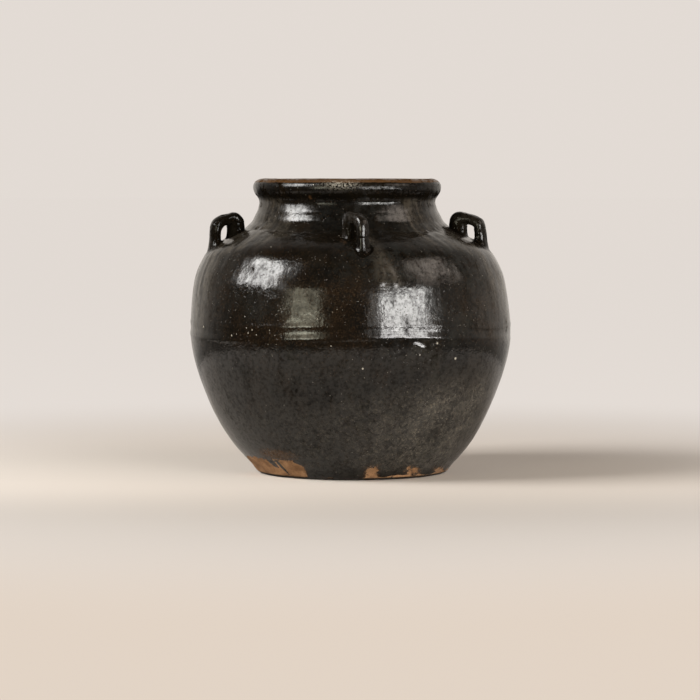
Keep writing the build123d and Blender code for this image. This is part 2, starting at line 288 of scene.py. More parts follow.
# glaze runs from the front lug, a bead below the seam
for line, width, high in (
    ([(9.7, 244), (10.5, 240), (11.3, 236), (11.6, 231), (11.8, 226), (11.9, 218), (11.9, 209), (11.6, 201)], 2.2, 0.55),
    ([(12.4, 228), (13.2, 220), (15.0, 212), (15.8, 205.4), (16.7, 199.6)], 1.8, 0.4),
    ([(22.5, 138.8), (24.2, 136.7), (25.9, 134.6)], 1.5, 0.55),
    ([(-45.7, 191), (-44, 178), (-42.8, 166.7), (-40.2, 148)], 1.6, 0.28),
    ([(-71, 226), (-70, 212), (-70.5, 196), (-71, 186)], 2.6, 0.35),
    ([(98, 230), (99, 214), (99, 200)], 2.4, 0.4),
    ([(152, 226), (153, 205), (153, 180)], 2.8, 0.4),
    ([(-158, 228), (-157, 210), (-156, 171)], 2.4, 0.4),
):
    relief += outer * bump_line(line, width, high)
# the crease where the neck was joined on
for line in ([(-62, 251.5), (-52, 250.6), (-31.6, 248.2), (-18.5, 247.6), (-10, 248.4)],
             [(20, 249.2), (27, 248.4), (38, 248.1), (49, 248.8), (58, 250)],
             [(95, 249), (125, 248), (140, 249)], [(-170, 248.6), (-140, 249), (-120, 248.2)]):
    relief -= outer * bump_line(line, 1.2, 0.75) * np.clip(0.8 + 0.9 * noise(BASE, 7, 30), 0, 1.5)
    relief += outer * bump_line([(a_, z_ - 3.2) for a_, z_ in line], 1.6, 0.4) * np.clip(0.6 + 1.1 * noise(BASE, 11, 32), 0, 1.5)
# the foot was pared by hand, and the lip rolled over by hand
foot = outer * smooth01((26 - ZZ) / 18)
relief += foot * 0.7 * noise(BASE * [1, 1, 0.5], 24, 31) * smooth01((ZZ - 0.3) / 3)
lip = outer * smooth01((ZZ - 280) / 5)
relief += lip * (0.45 * noise(BASE, 46, 41) + 0.14 * noise(BASE, 15, 42))
relief -= lip * 1.3 * np.exp(-0.5 * (((DEG + 61) / 5) ** 2 + ((ZZ - 286) / 4) ** 2))
neck = outer * smooth01((ZZ - 252) / 6) * smooth01((282 - ZZ) / 6)
relief += neck * (0.14 * noise(BASE, 34, 43) + 0.02 * np.sin(2 * math.pi * ZZ / 6.3 + 2 * noise(BASE, 60, 44)))
# the inside keeps deeper throwing rings, and the floor a spiral
inner = within_jar[:, None] * smooth01((rows[:, None] - A["crest"]) / 6)
spiral = np.sin(2 * math.pi * (ZZ + 9 * PHI / (2 * math.pi)) / 9.7 + 1.2 * noise(BASE, 110, 51))
relief += inner * (0.5 * noise(BASE, 80, 52) + 0.28 * spiral * smooth01((ZZ - 14) / 12) + 0.06 * noise(BASE, 12, 53))
flat = within_jar[:, None] & (ZZ < 14)
relief += np.where(flat, 0.3 * np.sin(2 * math.pi * RR / 11 + PHI) * smooth01((84 - RR) / 8), 0)

SKIN = BASE + relief[..., None] * np.stack([NR[:, None] * np.sin(PHI), -NR[:, None] * np.cos(PHI), NZ[:, None] + 0 * PHI], -1)
SKIN[..., 0] += shift(SKIN[..., 2])
SKIN[..., 2] = np.maximum(SKIN[..., 2], 0.0)


def skin_normals(p):
    along = np.gradient(p, axis=0)
    across = np.roll(p, -1, 1) - np.roll(p, 1, 1)
    n = np.cross(across, along)
    return n / np.maximum(np.linalg.norm(n, axis=-1, keepdims=True), 1e-12)


NORMAL = skin_normals(SKIN)

# ------------------------------------------------------------------ where the glaze is thin or missing

def ground(polygon, soft=3.0, radius=104.0):
    """How far inside a polygon of (angle, height) each point of the outside is: 0 outside, 0.5 on its edge, 1 inside."""
    pts = [(math.radians(a) * radius, z) for a, z in polygon]
    use = (ZZ < 40) & (outer > 0)
    x, z = (PHI * radius)[use], ZZ[use]
    best, odd = np.full(x.shape, 1e9), np.zeros(x.shape, bool)
    for (x0, z0), (x1, z1) in zip(pts, pts[1:] + pts[:1]):
        ex, ez = x1 - x0, z1 - z0
        t = np.clip(((x - x0) * ex + (z - z0) * ez) / (ex * ex + ez * ez), 0, 1)
        best = np.minimum(best, np.hypot(x - x0 - t * ex, z - z0 - t * ez))
        odd ^= ((z0 > z) != (z1 > z)) & (x < ex * (z - z0) / (ez if ez else 1e-9) + x0)
    out = np.zeros_like(ZZ)
    out[use] = np.clip(0.5 + np.where(odd, best, -best) / (2 * soft), 0, 1)
    return out


bare = np.zeros_like(ZZ)
for polygon, soft in (
    ([(-84, -3), (-83, 8), (-78, 15), (-71.5, 18.6), (-56, 19.6), (-46.4, 19.4), (-38, 19.2), (-31, 18.2), (-27.8, 16), (-26.9, 13), (-27.1, 8.9), (-27.3, -3)], 3.0),
    ([(-18.8, -3), (-18.4, 2.2), (-14, 3.2), (-11.3, 2.2), (-11, -3)], 3.0),
    ([(7.2, -3), (7.6, 12.5), (10, 15.4), (13.4, 14.8), (14.6, 8), (15.5, -3)], 5.0),
    ([(33.6, 2), (31.2, 9), (32.2, 12.8), (37, 13.2), (39.8, 10.5), (41.8, 3)], 5.0),
    ([(54.3, 8.6), (60, 8.9), (65, 7), (67.8, 2.6), (60.6, 1.6), (57, 4)], 4.5),
    ([(104, -3), (107, 9), (116, 12), (127, 8), (131, -3)], 5.0),
    ([(158, -3), (160, 6), (171, 7), (174, -3)], 4.0),
    ([(-152, -3), (-149, 11), (-138, 15), (-127, 10), (-124, -3)], 5.0),
):
    bare = np.maximum(bare, (0.78 if 0 < polygon[0][0] < 70 else 1.0) * ground(polygon, soft))
bare = np.maximum(bare, outer * 0.72 * smooth01((4.4 + 1.8 * noise(BASE, 8, 63) - ZZ) / 1.4) * smooth01((DEG - 2) / 6) * smooth01((84 - DEG) / 8))
for polygon in (
    [(-50.5, 22), (-49.5, 17), (-46.5, 11.5), (-44.6, 10.5), (-44, 14), (-44.5, 22)],
    [(-44, 19), (-42.5, 11), (-40.6, 3.2), (-38.6, 3.2), (-40.2, 11), (-41, 19)],
):
    bare = np.minimum(bare, 1 - ground(polygon, 1.6))
thin = np.zeros_like(ZZ)
# worn line along the foot's edge
thin = np.maximum(thin, outer * smooth01((2.6 + 1.6 * noise(BASE, 30, 61) - ZZ) / 2.2) * 0.8)
thin = np.maximum(thin, outer * 0.62 * np.exp(-0.5 * (((DEG + 40) / 15) ** 2 + ((ZZ - 25) / 8) ** 2)))
# the lip's crest, where a cover rubbed and the glaze drew back
over = rows - float(np.interp(297.4, zs, np.linspace(lo, hi, 4000)))
back = A["crest"] + 6.0 - rows
thin = np.maximum(thin, np.clip(0.5 + np.minimum(over, back)[:, None] / 2.4 + 0.25 * noise(BASE, 20, 62), 0, 1) * (Z0 > 285)[:, None])
thin = np.maximum(thin, outer * 0.44 * np.exp(-0.5 * (((DEG + 2.0) / 3.2) ** 2 + ((ZZ - 241) / 7) ** 2)))
for a, z, wide, high in ((-23.5, 283, 1.5, 3.2),):
    thin = np.maximum(thin, outer * 0.62 * np.exp(-0.5 * (((DEG - a) / wide) ** 2 + ((ZZ - z) / high) ** 2)))
# inside the eyes of the lugs at the sides
for a in (82, -79.5):
    thin = np.maximum(thin, outer * 0.56 * np.exp(-0.5 * (((DEG - a) / 4.5) ** 2 + ((ZZ - 238) / 5) ** 2)))
thin = np.maximum(thin, outer * 0.30 * np.exp(-0.5 * ((ZZ - np.interp(DEG, [-180, -49, 0, 41, 69, 180], [147, 141.5, 146.2, 144.4, 142.5, 147])) / 1.4) ** 2))
# matt wear low on the right, and some on the left
wear = outer * smooth01((100 + 0.4 * np.clip(DEG, -20, 60) - ZZ) / 45) * smooth01((ZZ - 2) / 16) * (
    0.95 * np.exp(-0.5 * ((DEG - 42) / 25) ** 2) + 0.22 * np.exp(-0.5 * ((DEG + 35) / 25) ** 2)
    + 0.5 * np.exp(-0.5 * ((DEG - 165) / 30) ** 2))
wear = np.clip(wear * (0.85 + 0.45 * noise(BASE, 34, 71)), 0, 1)
# clouds of red brown in the glaze, where it ran thinner over the upper wall
cloud = outer * smooth01((ZZ - 128) / 14) * smooth01((262 - ZZ) / 20) * (0.42 + 0.4 * noise(BASE, 60, 72) + 0.25 * noise(BASE, 24, 73))
for a, z, wide, high, much in ((-40, 156, 15, 20, 0.55), (0, 160, 14, 16, 0.35), (64, 170, 10, 26, 0.6), (-8, 196, 12, 14, 0.3), (-30, 226, 14, 9, 0.3), (120, 190, 24, 26, 0.4), (-140, 180, 26, 30, 0.45)):
    cloud = np.maximum(cloud, cloud + outer * much * np.exp(-0.5 * (((DEG - a) / wide) ** 2 + ((ZZ - z) / high) ** 2)))
cloud = np.clip(cloud, 0, 1)
hollow = np.repeat(within_jar[:, None], COLS, 1) * smooth01((rows[:, None] - A["crest"] - 6) / 5)
under = np.repeat((rows < A["edge"] + 0.4)[:, None], COLS, 1) * 1.0
bare = np.maximum(bare, under)

# a thin brown grey film that ran down the shoulder and the flanks
neck_area = outer * smooth01((ZZ - 246) / 8) * smooth01((284 - ZZ) / 6)
streaks = 0.5 + 0.85 * noise(DOWN, 9, 26) + 0.5 * noise(DOWN, 5, 27) + 0.35 * noise(BASE, 26, 28)
start = 56 - 26 * smooth01((ZZ - 221) / 22)
flow = outer * smooth01((ZZ - 120) / 50) * smooth01((276 - ZZ) / 16) * smooth01((np.abs(DEG + 1) - start) / 9) * np.clip(streaks, 0, 1)
# on the neck too, at both sides
flow = np.maximum(flow, 0.75 * neck_area * smooth01((np.abs(DEG + 6) - 36) / 12) * np.clip(streaks, 0, 1))
for line, wide, much in (([(9.7, 244), (11.3, 236), (11.8, 226), (11.9, 209), (12.6, 199)], 5.0, 0.6),
                         ([(12.4, 228), (15.0, 212), (17.4, 199.6)], 3.4, 0.7),
                         ([(-62, 247), (-46, 246.5), (-30, 245.6)], 3.0, 0.55)):
    flow = np.maximum(flow, outer * bump_line(line, wide, much))
# grey haze where the glaze is full of small crystals
haze = np.zeros_like(ZZ)
for a, z, wide, high, much in ((16, 214, 15, 20, 0.75), (-36, 176, 9, 11, 0.6), (44, 214, 20, 18, 0.6), (6, 262, 30, 10, 0.5), (30, 158, 15, 22, 0.5), (-58, 190, 10, 40, 0.35), (130, 200, 26, 22, 0.6), (-130, 196, 26, 22, 0.6)):
    haze = np.maximum(haze, outer * much * np.exp(-0.5 * (((DEG - a) / wide) ** 2 + ((ZZ - z) / high) ** 2)))
haze = np.maximum(haze, outer * 0.16 * smooth01((140 - ZZ) / 10) * smooth01((ZZ - 8) / 10))
haze = np.clip(haze * (1 + 0.8 * noise(BASE, 19, 29)), 0, 1)
low = outer * smooth01((146 - ZZ) / 8)

# a pale crust on the lip's front
salt = outer * np.exp(-0.5 * (((DEG + 4) / 6.5) ** 2 + ((ZZ - 295.5) / 2.6) ** 2))
rim = outer * smooth01((ZZ - 270) / 4) * np.clip(0.62 + 0.7 * noise(BASE, 22, 74), 0, 1)
# painted shade below the lip: the glaze is darkened there and made less glossy
dark_and_painted_shade = outer * 0.6 * np.exp(-0.5 * ((ZZ - 284) / 2.2) ** 2)
FIELDS = {"low": low, "flow": flow, "haze": haze, "rim": rim, "bare": bare, "thin": thin, "wear": wear, "hollow": hollow, "cloud": cloud, "salt": salt, "dark_and_painted_shade": dark_and_painted_shade}


def spot(angle, height):
    """The point of the outside nearest to an angle and a height, in metres."""
    j = int(round((math.radians(angle) + math.pi) / (2 * math.pi) * COLS)) % COLS
    r = int(np.argmin(np.where(on_side, np.abs(Z0 - height), 1e9)))
    return tuple((SKIN[r, j] * MM).tolist())


# ------------------------------------------------------------------ shader helpers

class Tree:
    """Short calls for building one node tree."""

    def __init__(self, tree):
        self.tree = tree
        self.x = 0

    def node(self, kind, **values):
        n = self.tree.nodes.new(kind)
        self.x += 40
        n.location = (self.x, 0)
        for key, value in values.items():
            setattr(n, key, value)
        return n

    def put(self, socket, value):
        if hasattr(value, "is_output") or hasattr(value, "links"):
            self.tree.links.new(value, socket)
        else:
            socket.default_value = value

    def math(self, op, a, b=0.0, c=0.0, clamp=False):
        n = self.node("ShaderNodeMath", operation=op, use_clamp=clamp)
        for i, v in enumerate((a, b, c)):
            if i < len(n.inputs):
                self.put(n.inputs[i], v)
        return n.outputs[0]

    def ramp(self, value, low, high, to_low=0.0, to_high=1.0, kind="SMOOTHSTEP"):
        n = self.node("ShaderNodeMapRange", interpolation_type=kind, clamp=True) if kind != "LINEAR" else self.node("ShaderNodeMapRange", clamp=True)
        for i, v in enumerate((value, low, high, to_low, to_high)):
            self.put(n.inputs[i], v)
        return n.outputs[0]

    def noise(self, scale, detail=3.0, rough=0.55, twist=0.0, vector=None, w=None):
        n = self.node("ShaderNodeTexNoise", noise_dimensions="3D")
        self.put(n.inputs["Vector"], vector if vector is not None else self.co)
        n.inputs["Scale"].default_value = scale
        n.inputs["Detail"].default_value = detail
        n.inputs["Roughness"].default_value = rough
        n.inputs["Distortion"].default_value = twist
        return n.outputs[0]

    def cells(self, scale, feature="F1", vector=None, out="Distance", random=1.0):
        n = self.node("ShaderNodeTexVoronoi", feature=feature)
        self.put(n.inputs["Vector"], vector if vector is not None else self.co)
        n.inputs["Scale"].default_value = scale
        n.inputs["Randomness"].default_value = random
        return n.outputs[out]

    def stretch(self, x, y, z, offset=(0, 0, 0)):
        n = self.node("ShaderNodeMapping")
        self.put(n.inputs["Vector"], self.co)
        n.inputs["Scale"].default_value = (x, y, z)
        n.inputs["Location"].default_value = offset
        return n.outputs[0]

    def mix(self, factor, a, b, kind="MIX"):
        n = self.node("ShaderNodeMix", data_type="RGBA", blend_type=kind)
        n.clamp_factor = True
        self.put(n.inputs[0], factor)
        self.put(n.inputs[6], (*a, 1.0) if isinstance(a, tuple) else a)
        self.put(n.inputs[7], (*b, 1.0) if isinstance(b, tuple) else b)
        return n.outputs[2]

    def blend(self, factor, a, b):
        n = self.node("ShaderNodeMix", data_type="FLOAT")
        n.clamp_factor = True
        self.put(n.inputs[0], factor)
        self.put(n.inputs[2], a)
        self.put(n.inputs[3], b)
        return n.outputs[0]

    def dot(self, point, radius):
        """1 within a radius of a point, in metres, and 0 beyond it."""
        n = self.node("ShaderNodeVectorMath", operation="DISTANCE")
        self.put(n.inputs[0], self.co)
        n.inputs[1].default_value = point
        return self.ramp(n.outputs["Value"], radius * 0.6, radius, 1.0, 0.0)

    def field(self, name):
        return self.node("ShaderNodeAttribute", attribute_name=name).outputs["Fac"]


def material(name):
    m = bpy.data.materials.new(name)
    m.use_nodes = True
    m.node_tree.nodes.clear()
    t = Tree(m.node_tree)
    t.co = t.node("ShaderNodeTexCoord").outputs["Object"]
    return m, t


def clay_colour(t):
    """Iron-bearing stoneware fired bare: orange brown, freckled, with grey scorch."""
    c = t.mix(t.ramp(t.noise(70, 4, 0.6), 0.32, 0.68), (0.16, 0.078, 0.033), (0.34, 0.188, 0.092))
    c = t.mix(t.ramp(t.noise(420, 3, 0.6), 0.48, 0.72, 0.0, 0.6), c, (0.12, 0.058, 0.028))
    c = t.mix(t.ramp(t.noise(16, 3, 0.5), 0.5, 0.72, 0.0, 0.6), c, (0.145, 0.088, 0.055))
    specks = t.ramp(t.cells(330), 0.10, 0.2, 0.75, 0.0)
    pick = t.ramp(t.noise(190, 2, 0.5), 0.5, 0.62)
    return t.mix(t.math("MULTIPLY", specks, pick), c, (0.035, 0.02, 0.012))


def glaze_material():
    m, t = material("jar_glaze")
    bare_in, thin_in, wear_in, hollow_in = (t.field(n) for n in ("bare", "thin", "wear", "hollow"))
    # ragged edges for the bare and the thin places
    ragged = t.math("ADD", t.math("MULTIPLY", t.math("SUBTRACT", t.noise(260, 5, 0.72, 0.8), 0.5), 1.5),
                    t.math("MULTIPLY", t.math("SUBTRACT", t.noise(90, 3, 0.55, 0.4), 0.5), 1.3))
    edge = t.math("ADD", bare_in, ragged)
    close = t.ramp(bare_in, 0.0, 0.10)
    is_bare = t.math("MULTIPLY", t.ramp(edge, 0.47, 0.53), close)
    near_bare = t.math("MULTIPLY", t.ramp(edge, 0.12, 0.5), close)
    is_thin = t.ramp(t.math("ADD", thin_in, t.math("MULTIPLY", t.math("SUBTRACT", t.noise(300, 4, 0.65), 0.5), 0.5)), 0.36, 0.66)

    # colour of thick glaze: black, with a fine brown mottle where it ran thinner
    cloud_in = t.field("cloud")
    clouds = t.noise(26, 5, 0.6, 0.7)
    c = t.mix(t.ramp(clouds, 0.36, 0.66), (0.0022, 0.0018, 0.0014), (0.0050, 0.0037, 0.0023))
    streak = t.noise(60, 4, 0.6, 0.3, vector=t.stretch(1, 1, 0.16))
    c = t.mix(t.ramp(streak, 0.50, 0.74, 0.0, 0.6), c, (0.0105, 0.0064, 0.0034))
    fleck = t.math("ADD", t.noise(190, 7, 0.82, 0.3), t.math("MULTIPLY", t.math("SUBTRACT", cloud_in, 0.40), 0.26))
    patchy = t.ramp(t.noise(22, 4, 0.6, vector=t.stretch(1, 1, 0.8, (8, 2, 3))), 0.40, 0.60, 0.25, 1.0)
    c = t.mix(t.math("MULTIPLY", t.ramp(fleck, 0.48, 0.76, 0.0, 0.84), patchy), c, (0.0120, 0.0068, 0.0032))
    haze_in = t.math("MULTIPLY", t.field("haze"), t.ramp(t.noise(150, 5, 0.7), 0.36, 0.60))
    c = t.mix(t.math("MULTIPLY", haze_in, 0.9), c, (0.0160, 0.0160, 0.0143))
    flow_in = t.math("MULTIPLY", t.field("flow"), t.ramp(t.noise(200, 5, 0.7), 0.30, 0.58))
    c = t.mix(t.math("MULTIPLY", flow_in, 0.9), c, (0.054, 0.045, 0.034))
    c = t.mix(t.ramp(t.noise(48, 3, 0.5, 0.4, vector=t.stretch(1, 1, 0.7, (3, 1, 2))), 0.58, 0.74, 0.0, 0.45), c, (0.0082, 0.0078, 0.0050))
    grains = t.math("ADD", t.noise(640, 3, 0.7), t.math("MULTIPLY", t.math("SUBTRACT", cloud_in, 0.25), 0.07))
    c = t.mix(t.math("MULTIPLY", t.ramp(grains, 0.57, 0.66, 0.0, 0.75), t.blend(0.6, patchy, 1.0)), c, (0.026, 0.0162, 0.0090))
    # thin glaze breaks to rusty brown
    thin_colour = t.mix(t.noise(240, 3, 0.6), (0.042, 0.020, 0.0085), (0.098, 0.050, 0.021))
    c = t.mix(t.math("MULTIPLY", is_thin, 0.93), c, thin_colour)
    c = t.mix(t.math("MULTIPLY", near_bare, 0.85), c, (0.050, 0.025, 0.012))
    # painted shade below the lip and towards the lugs' eyes, and the lugs' darker glaze all over
    c = t.mix(t.math("MULTIPLY", t.field("dark_and_painted_shade"), 0.7), c, (0.0036, 0.0028, 0.0017))
    # worn matt places: a blotchy grey and tan film
    blotch = t.noise(120, 6, 0.8, 0.9)
    flake = t.ramp(t.noise(430, 4, 0.8, 0.6), 0.50, 0.64)
    film = t.math("MULTIPLY", wear_in, t.ramp(blotch, 0.40, 0.60))
    c = t.mix(t.math("MULTIPLY", wear_in, 0.6), c, (0.024, 0.022, 0.019))
    c = t.mix(t.math("MULTIPLY", film, 0.7), c, (0.062, 0.055, 0.045))
    c = t.mix(t.math("MULTIPLY", t.math("MULTIPLY", film, flake), 0.6), c, (0.20, 0.165, 0.12))
    # small light specks and grains of kiln dust
    grain = t.cells(115)
    pick = t.ramp(t.noise(53, 2, 0.5, vector=t.stretch(1, 1, 1, (7, 3, 5))), 0.60, 0.63)
    speck = t.math("MULTIPLY", t.ramp(grain, 0.045, 0.085, 1.0, 0.0), pick)
    dust = t.math("MULTIPLY", t.ramp(t.cells(230, vector=t.stretch(1, 1, 1, (3, 8, 1))), 0.07, 0.13, 0.45, 0.0), t.ramp(t.noise(70, 3, 0.6, vector=t.stretch(1, 1, 1, (4, 4, 1))), 0.53, 0.60))
    speck = t.math("MAXIMUM", speck, dust)
    salt = t.math("MULTIPLY", t.field("salt"), t.ramp(t.noise(520, 4, 0.75), 0.46, 0.56, 0.0, 0.85))
    speck = t.math("MAXIMUM", speck, salt)
    for angle, height, size in ((39.7, 123.4, 0.0015), (4.3, 115.8, 0.0012), (-45.5, 146.0, 0.0010), (-37.6, 150.0, 0.0007), (-38.6, 154.4, 0.0006), (-36.0, 152.4, 0.0008), (-34.1, 147.6, 0.0006), (-43.0, 147.1, 0.0006), (-29.0, 152.0, 0.0006), (-63.5, 152.0, 0.0012), (31.0, 139.0, 0.0013)):
        speck = t.math("MAXIMUM", speck, t.dot(spot(angle, height), size))
    c = t.mix(t.math("MULTIPLY", speck, 0.8), c, (0.36, 0.33, 0.27))
    pin = t.ramp(t.cells(300, vector=t.stretch(1, 1, 1, (11, 0, 4))), 0.09, 0.20, 1.0, 0.0)
    pinpick = t.ramp(t.noise(120, 3, 0.6, vector=t.stretch(1, 1, 1, (1, 9, 5))), 0.46, 0.56)
    pin = t.math("MULTIPLY", pin, pinpick)
    c = t.mix(t.math("MULTIPLY", pin, 0.5), c, (0.050, 0.030, 0.018))
    wash = t.mix(t.ramp(t.noise(45, 5, 0.65, vector=t.stretch(1, 1, 0.4, (6, 6, 2))), 0.34, 0.66), (0.030, 0.0165, 0.0085), (0.085, 0.047, 0.024))
    c = t.mix(t.math("MULTIPLY", hollow_in, 0.9), c, wash)
    clay = clay_colour(t)
    c = t.mix(is_bare, c, clay)
    # painted shadow: a dark line along the lowest few millimetres of the outside, in the gap below the foot's edge
    parts_ = t.node("ShaderNodeSeparateXYZ")
    t.put(parts_.inputs[0], t.co)
    painted_contact_shadow = t.math("MULTIPLY", t.ramp(parts_.outputs[2], 0.0017, 0.0031, 0.95, 0.0), t.field("low"))
    c = t.mix(painted_contact_shadow, c, (0.010, 0.0075, 0.005))

    # gloss: glassy, dulled here and there by small matt crystals
    rough = t.ramp(t.noise(34, 3, 0.5), 0.3, 0.7, 0.065, 0.105, "LINEAR")
    crystals = t.noise(260, 4, 0.72)
    drift = t.noise(85, 5, 0.68, vector=t.stretch(1, 1, 0.5, (2, 6, 1)))
    dull = t.math("ADD", t.ramp(crystals, 0.48, 0.66, 0.0, 0.06), t.ramp(drift, 0.50, 0.68, 0.0, 0.08))
    rough = t.math("ADD", rough, dull)
    rough = t.blend(t.math("MULTIPLY", flow_in, 0.5), rough, 0.30)
    rough = t.blend(t.math("MULTIPLY", haze_in, 0.5), rough, 0.24)
    rough = t.blend(t.math("MULTIPLY", wear_in, 0.75), rough, 0.38)
    rough = t.blend(t.math("MULTIPLY", is_thin, 0.8), rough, 0.32)
    rough = t.blend(t.math("MULTIPLY", t.field("rim"), 0.8), rough, 0.30)
    rough = t.blend(t.math("MULTIPLY", hollow_in, 0.6), rough, 0.26)
    rough = t.blend(is_bare, rough, 0.82)

    # relief finer than the mesh: orange peel, pinholes, grit in the clay
    peel = t.math("ADD", t.math("MULTIPLY", t.noise(420, 3, 0.6), 0.65), t.math("MULTIPLY", t.noise(120, 2, 0.5), 1.1))
    peel = t.math("ADD", peel, t.math("MULTIPLY", t.noise(75, 3, 0.5, vector=t.stretch(1, 1, 0.22, (5, 2, 8))), 1.5))
    peel = t.math("SUBTRACT", peel, t.math("MULTIPLY", pin, 0.8))
    peel = t.math("ADD", peel, t.math("MULTIPLY", speck, 0.6))
    peel = t.math("ADD", peel, t.math("MULTIPLY", t.math("MULTIPLY", film, blotch), 0.8))
    grit = t.math("ADD", t.math("MULTIPLY", t.noise(900, 4, 0.7), 1.2), t.math("MULTIPLY", t.noise(300, 3, 0.6), 2.0))
    grit = t.math("SUBTRACT", grit, 2.2)
    height = t.blend(is_bare, peel, grit)
    bump = t.node("ShaderNodeBump")
    bump.inputs["Strength"].default_value = 0.75
    bump.inputs["Distance"].default_value = 0.00022
    t.put(bump.inputs["Height"], height)

    b = t.node("ShaderNodeBsdfPrincipled")
    t.put(b.inputs["Base Color"], c)
    t.put(b.inputs["Roughness"], rough)
    b.inputs["IOR"].default_value = 1.52
    low_in = t.field("low")
    sheen = t.math("SUBTRACT", t.blend(low_in, 0.55, 0.57), t.math("MULTIPLY", t.ramp(crystals, 0.44, 0.62, 0.0, 0.22), t.blend(low_in, 1.0, 1.3)))
    sheen = t.math("SUBTRACT", sheen, t.math("MULTIPLY", t.ramp(drift, 0.47, 0.64, 0.0, 0.24), t.blend(low_in, 1.0, 0.45)))
    sheen = t.math("SUBTRACT", sheen, t.ramp(t.noise(38, 5, 0.66, vector=t.stretch(1, 1, 0.6, (9, 1, 4))), 0.50, 0.68, 0.0, 0.16))
    sheen = t.math("SUBTRACT", sheen, t.math("MULTIPLY", t.field("rim"), 0.30), clamp=True)
    sheen = t.math("SUBTRACT", sheen, t.math("MULTIPLY", is_thin, 0.20), clamp=True)
    # the painted shade below the lip and in the lugs' eyes, and the lugs' darker glaze, are also less glossy
    sheen = t.math("SUBTRACT", sheen, t.math("MULTIPLY", t.field("dark_and_painted_shade"), 0.50), clamp=True)
    t.put(b.inputs["Specular IOR Level"], t.blend(is_bare, sheen, 0.25))
    t.put(b.inputs["Normal"], bump.outputs[0])
    out = t.node("ShaderNodeOutputMaterial")
    t.put(out.inputs["Surface"], b.outputs[0])
    return m


def clay_material():
    m, t = material("bare_clay")
    c = clay_colour(t)
    bump = t.node("ShaderNodeBump")
    bump.inputs["Strength"].default_value = 0.8
    bump.inputs["Distance"].default_value = 0.0003
    t.put(bump.inputs["Height"], t.math("ADD", t.noise(900, 4, 0.7), t.noise(260, 3, 0.6)))
    b = t.node("ShaderNodeBsdfPrincipled")
    t.put(b.inputs["Base Color"], c)
    t.put(b.inputs["Roughness"], t.ramp(t.noise(200, 3, 0.5), 0.3, 0.7, 0.72, 0.9, "LINEAR"))
    b.inputs["Specular IOR Level"].default_value = 0.3
    t.put(b.inputs["Normal"], bump.outputs[0])
    out = t.node("ShaderNodeOutputMaterial")
    t.put(out.inputs["Surface"], b.outputs[0])
    return m


GLAZE, CLAY = glaze_material(), clay_material()

# ------------------------------------------------------------------ meshes

def make_object(name, node, points, faces, normals, corner_normals, slots, fields):
    """One piece: points in mm, faces as an array of quads and a list of polygons, corner normals for all of them."""
    mesh = bpy.data.meshes.new(name)
    mesh.from_pydata((points * MM).tolist(), [], faces)
    mesh.materials.append(GLAZE)
    mesh.materials.append(CLAY)
    mesh.polygons.foreach_set("material_index", np.asarray(slots, np.int32))
    mesh.polygons.foreach_set("use_smooth", np.ones(len(faces), bool))
    for key, values in fields.items():
        a = mesh.attributes.new(key, "FLOAT", "POINT")
        a.data.foreach_set("value", np.asarray(values, np.float32))
    mesh.normals_split_custom_set(corner_normals.tolist())
    mesh.update()
    obj = bpy.data.objects.new(name, mesh)
    bpy.context.scene.collection.objects.link(obj)
    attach(obj, "root")
    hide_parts(node)
    return obj


def joint_ring(radius, height):
    """A ring hidden in a joint: the plain circle, leaning as the wall does."""
    p = np.stack([radius * np.sin(phi), -radius * np.cos(phi), np.full(COLS, height)], -1)
    p[:, 0] += shift(height)
    return p


def wall_piece(name, node, runs):
    """A piece turned on the wheel. runs lists rows of the skin as (first, last) and hidden joint rings as (radius, height); a list that starts and ends at the axis closes there, and any other closes on itself."""
    rings_, normals_, fields_, hard = [], [], {k: [] for k in FIELDS}, []
    for run in runs:
        if isinstance(run[0], str):
            a, b = row_of[run[0]], row_of[run[1]]
            for r in range(a, b + 1):
                rings_.append(SKIN[r])
                normals_.append(NORMAL[r])
                hard.append(False)
                for k in FIELDS:
                    fields_[k].append(FIELDS[k][r])
        else:
            rings_.append(joint_ring(*run))
            normals_.append(np.zeros((COLS, 3)))
            hard.append(True)
            for k in FIELDS:
                fields_[k].append(np.ones(COLS) if k == "bare" else np.zeros(COLS))
    capped = runs[0][0] == "start" and runs[-1][-1] == "end"
    n = len(rings_)
    points = np.concatenate(rings_)
    vertex_normals = np.concatenate(normals_)
    fields = {k: np.concatenate(v) for k, v in fields_.items()}
    # a step between two runs is a joint face: it is flat and of bare clay
    ends = set()
    at = 0
    for run in runs:
        size = row_of[run[1]] - row_of[run[0]] + 1 if isinstance(run[0], str) else 1
        at += size
        ends.add(at - 1)
    quads, flat_face = [], []
    cols = np.arange(COLS)
    nxt = (cols + 1) % COLS
    for r in range(n if not capped else n - 1):
        s = (r + 1) % n
        quads.append(np.stack([r * COLS + cols, r * COLS + nxt, s * COLS + nxt, s * COLS + cols], -1))
        flat_face.append(np.full(COLS, r in ends))
    quads = np.concatenate(quads)
    flat_face = np.concatenate(flat_face)
    p = points[quads]
    face_normal = np.cross(p[:, 2] - p[:, 0], p[:, 3] - p[:, 1])
    face_normal /= np.maximum(np.linalg.norm(face_normal, axis=1, keepdims=True), 1e-12)
    corner = np.where(flat_face[:, None, None], face_normal[:, None, :], vertex_normals[quads]).reshape(-1, 3)
    faces = quads.tolist()
    slots = np.where(flat_face, 1, 0).tolist()
    if capped:
        first = list(range(COLS))[::-1]
        last = list(range((n - 1) * COLS, n * COLS))
        faces += [first, last]
        slots += [0, 0]
        corner = np.vstack([corner, np.tile([0, 0, -1.0], (COLS, 1)), np.tile([0, 0, 1.0], (COLS, 1))])
    return make_object(name, node, points, faces, None, corner, slots, fields)


